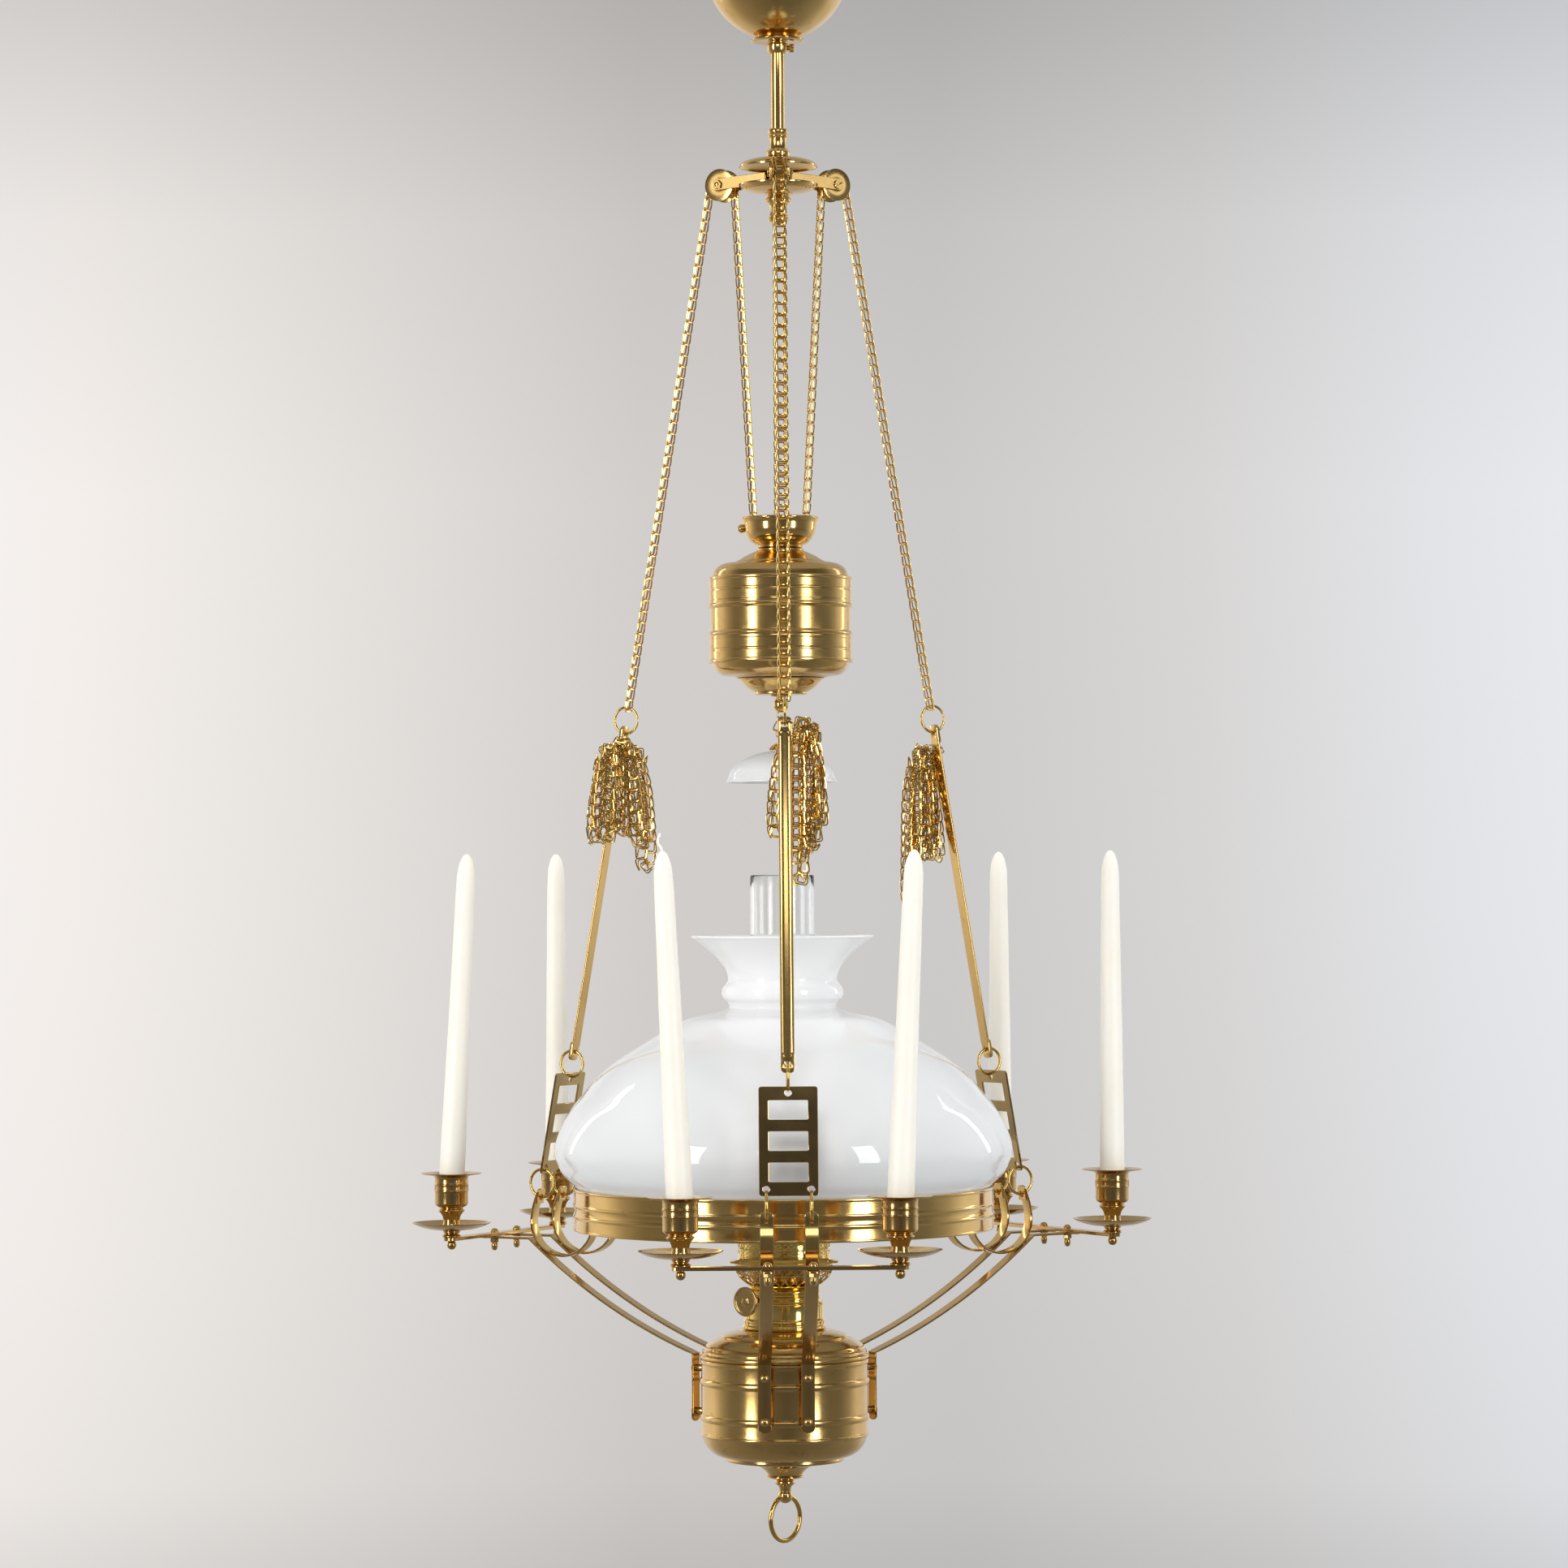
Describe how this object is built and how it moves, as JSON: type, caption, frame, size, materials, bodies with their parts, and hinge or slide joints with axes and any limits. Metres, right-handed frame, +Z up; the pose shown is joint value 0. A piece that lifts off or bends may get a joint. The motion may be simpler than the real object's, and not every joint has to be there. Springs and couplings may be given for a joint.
{
  "type": "hanging kerosene lamp",
  "caption": "Brass kerosene lamp that hangs from the ceiling on chains over pulleys, balanced by a counterweight, with an opal glass shade, glass chimney, smoke bell and arms for candles.",
  "frame": {"origin": "in the plane of the ceiling, on the lamp's vertical axis", "axes": "+Z up; the front leg, with its chain, arm and candles, lies towards -Y; +X to the viewer's right"},
  "size_m": [0.634, 0.5589, 1.35],
  "materials": {
    "polished_brass": "polished, with an old darkened patina in the grooves",
    "dark_brass": "aged and unpolished",
    "ballast_iron": "raw casting, hidden in the counterweight",
    "opal_glass": "glossy white opal glass",
    "clear_glass": "clear, polished",
    "candle_wax": "smooth wax, slightly glossy",
    "wick_cotton": "woven cotton"
  },
  "bodies": {
    "hanger": {"hanging_eye": "dark_brass", "stem_tube": "polished_brass", "hub_spindle": "polished_brass", "hub_cap": "polished_brass", "hub_dish": "polished_brass", "hub_finial": "polished_brass", "pulley_fork_front": "dark_brass", "pulley_fork_left": "dark_brass", "pulley_fork_right": "dark_brass", "chain_front": "polished_brass", "chain_left": "polished_brass", "chain_right": "polished_brass"},
    "ceiling_rose": {"ceiling_cup": "polished_brass", "cup_collar": "polished_brass"},
    "rose_screw": {"collar_screw": "dark_brass"},
    "pulley_wheel_front": {"pulley_front": "polished_brass"},
    "pulley_wheel_left": {"pulley_left": "polished_brass"},
    "pulley_wheel_right": {"pulley_right": "polished_brass"},
    "lamp_frame": {"rod_front": "polished_brass", "rod_left": "polished_brass", "rod_right": "polished_brass", "ladder_plate_front": "polished_brass", "ladder_plate_left": "polished_brass", "ladder_plate_right": "polished_brass", "chain_bundle_front": "polished_brass", "chain_bundle_left": "polished_brass", "chain_bundle_right": "polished_brass", "arm_strap_front_a": "polished_brass", "arm_strap_front_b": "polished_brass", "arm_strap_left_a": "polished_brass", "arm_strap_left_b": "polished_brass", "arm_strap_right_a": "polished_brass", "arm_strap_right_b": "polished_brass", "candle_bar_front": "polished_brass", "candle_bar_left": "polished_brass", "candle_bar_right": "polished_brass", "shade_ring": "polished_brass", "font_holder": "polished_brass", "holder_base": "polished_brass"},
    "counterweight": {"weight_cup": "polished_brass", "weight_case": "polished_brass", "weight_base": "polished_brass", "weight_ballast": "ballast_iron", "weight_finial": "polished_brass"},
    "smoke_bell_set": {"smoke_bell_cap": "polished_brass", "smoke_bell": "opal_glass"},
    "pull_ring_body": {"pull_ring": "polished_brass"},
    "shade": {"glass_shade": "opal_glass"},
    "font": {"oil_font": "polished_brass", "burner": "polished_brass", "chimney_gallery": "polished_brass"},
    "knob": {"wick_knob": "dark_brass"},
    "wick_body": {"wick": "wick_cotton"},
    "chimney_glass": {"chimney": "clear_glass"},
    "candle_body_front_a": {"candle_front_a": "candle_wax"},
    "candle_body_front_b": {"candle_front_b": "candle_wax"},
    "candle_body_left_a": {"candle_left_a": "candle_wax"},
    "candle_body_left_b": {"candle_left_b": "candle_wax"},
    "candle_body_right_a": {"candle_right_a": "candle_wax"},
    "candle_body_right_b": {"candle_right_b": "candle_wax"}
  },
  "joints": [
    {"name": "rose_slide", "type": "slide", "parent": "hanger", "child": "ceiling_rose", "axis": [0, 0, -1], "range_m": [0, 0.06]},
    {"name": "rose_screw_turn", "type": "hinge", "parent": "ceiling_rose", "child": "rose_screw", "pos_m": [0.012, 0, -0.0819], "axis": [1, 0, 0], "range_deg": [0, 360]},
    {"name": "lamp_slide", "type": "slide", "parent": "hanger", "child": "lamp_frame", "axis": [0, 0, -1], "range_m": [-0.03, 0.24], "deforming": ["chain_front", "chain_left", "chain_right"]},
    {"name": "counterweight_slide", "type": "slide", "parent": "hanger", "child": "counterweight", "axis": [0, 0, 1], "range_m": [-0.03, 0.24]},
    {"name": "pulley_turn_front", "type": "hinge", "parent": "hanger", "child": "pulley_wheel_front", "pos_m": [0, -0.0546, -0.1953], "axis": [1, 0, 0], "continuous": true},
    {"name": "pulley_turn_left", "type": "hinge", "parent": "hanger", "child": "pulley_wheel_left", "pos_m": [-0.04729, 0.0273, -0.1953], "axis": [-0.5, -0.866, 0], "continuous": true},
    {"name": "pulley_turn_right", "type": "hinge", "parent": "hanger", "child": "pulley_wheel_right", "pos_m": [0.04729, 0.0273, -0.1953], "axis": [-0.5, 0.866, 0], "continuous": true},
    {"name": "bell_swing", "type": "hinge", "parent": "counterweight", "child": "smoke_bell_set", "pos_m": [0, 0, -0.6524], "axis": [1, 0, 0], "range_deg": [-15, 15]},
    {"name": "pull_ring_swing", "type": "hinge", "parent": "lamp_frame", "child": "pull_ring_body", "pos_m": [0, 0, -1.3103], "axis": [0.6691, 0.7431, 0], "range_deg": [-45, 45]},
    {"name": "shade_lift", "type": "slide", "parent": "lamp_frame", "child": "shade", "axis": [0, 0, 1], "range_m": [0, 0.05]},
    {"name": "font_lift", "type": "slide", "parent": "lamp_frame", "child": "font", "axis": [0, 0, 1], "range_m": [0, 0.05]},
    {"name": "knob_turn", "type": "hinge", "parent": "font", "child": "knob", "pos_m": [-0.02479, -0.03139, -1.1425], "axis": [-0.6198, -0.7848, 0], "range_deg": [-170, 170]},
    {"name": "wick_raise", "type": "slide", "parent": "font", "child": "wick_body", "axis": [0, 0, 1], "range_m": [-0.012, 0.012]},
    {"name": "chimney_lift", "type": "slide", "parent": "font", "child": "chimney_glass", "axis": [0, 0, 1], "range_m": [0, 0.05]},
    {"name": "candle_lift_front_a", "type": "slide", "parent": "lamp_frame", "child": "candle_body_front_a", "axis": [-0.0454, 0, 0.999], "range_m": [0, 0.022]},
    {"name": "candle_lift_front_b", "type": "slide", "parent": "lamp_frame", "child": "candle_body_front_b", "axis": [0.0454, 0, 0.999], "range_m": [0, 0.022]},
    {"name": "candle_lift_left_a", "type": "slide", "parent": "lamp_frame", "child": "candle_body_left_a", "axis": [0, 0, 1], "range_m": [0, 0.022]},
    {"name": "candle_lift_left_b", "type": "slide", "parent": "lamp_frame", "child": "candle_body_left_b", "axis": [0.0506, 0, 0.9987], "range_m": [0, 0.022]},
    {"name": "candle_lift_right_a", "type": "slide", "parent": "lamp_frame", "child": "candle_body_right_a", "axis": [0, 0, 1], "range_m": [0, 0.022]},
    {"name": "candle_lift_right_b", "type": "slide", "parent": "lamp_frame", "child": "candle_body_right_b", "axis": [0, 0, 1], "range_m": [0, 0.022]}
  ],
  "couplings": [
    {"joint": "counterweight_slide", "follows": "lamp_slide", "ratio": 1},
    {"joint": "pulley_turn_front", "follows": "lamp_slide", "rad_per_m": 86.58},
    {"joint": "pulley_turn_left", "follows": "lamp_slide", "rad_per_m": 86.58},
    {"joint": "pulley_turn_right", "follows": "lamp_slide", "rad_per_m": 86.58},
    {"joint": "wick_raise", "follows": "knob_turn", "m_per_rad": 0.004}
  ]
}
